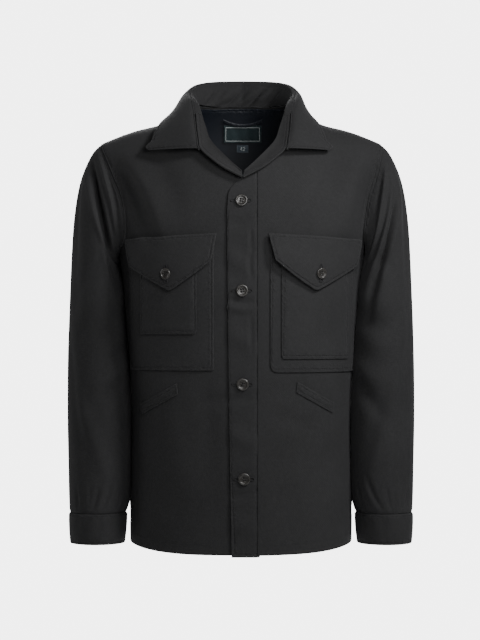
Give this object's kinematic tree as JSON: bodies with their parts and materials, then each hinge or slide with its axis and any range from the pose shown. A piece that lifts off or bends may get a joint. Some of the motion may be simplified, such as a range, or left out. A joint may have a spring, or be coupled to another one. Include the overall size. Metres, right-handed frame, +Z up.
{
  "type": "overshirt",
  "caption": "Worn-form wool overshirt with pointed collar, button front, flapped patch pockets on the chest and slanted welts below",
  "frame": {"origin": "centre of the neck's base, midway between the highest points of the shoulders, where the wearer carries it", "axes": "+Z up along the body, the front faces -Y, +X is the wearer's left"},
  "size_m": [0.5976, 0.2909, 0.8151],
  "materials": {
    "wool": "soft brushed wool, matt with a faint nap",
    "lining": "smooth navy lining, faint sheen",
    "label": "woven label, blank",
    "tag": "woven size tag",
    "horn": "polished dark horn"
  },
  "bodies": {
    "root": {"back": "wool", "front_left": "wool", "front_right": "wool", "placket": "wool", "sleeve_left": "wool", "sleeve_right": "wool", "cuff_left": "wool", "cuff_right": "wool", "collar_stand": "wool", "collar_leaf": "wool", "pocket_left": "wool", "pocket_right": "wool", "pouch_left": "wool", "pouch_right": "wool", "flap_left": "wool", "flap_right": "wool", "welt_left": "wool", "welt_right": "wool", "button_1": "horn", "button_2": "horn", "button_3": "horn", "button_4": "horn", "flap_button_left": "horn", "flap_button_right": "horn", "yoke_lining": "lining", "hanger_loop": "lining", "neck_label": "label", "size_tag": "tag"}
  },
  "joints": []
}
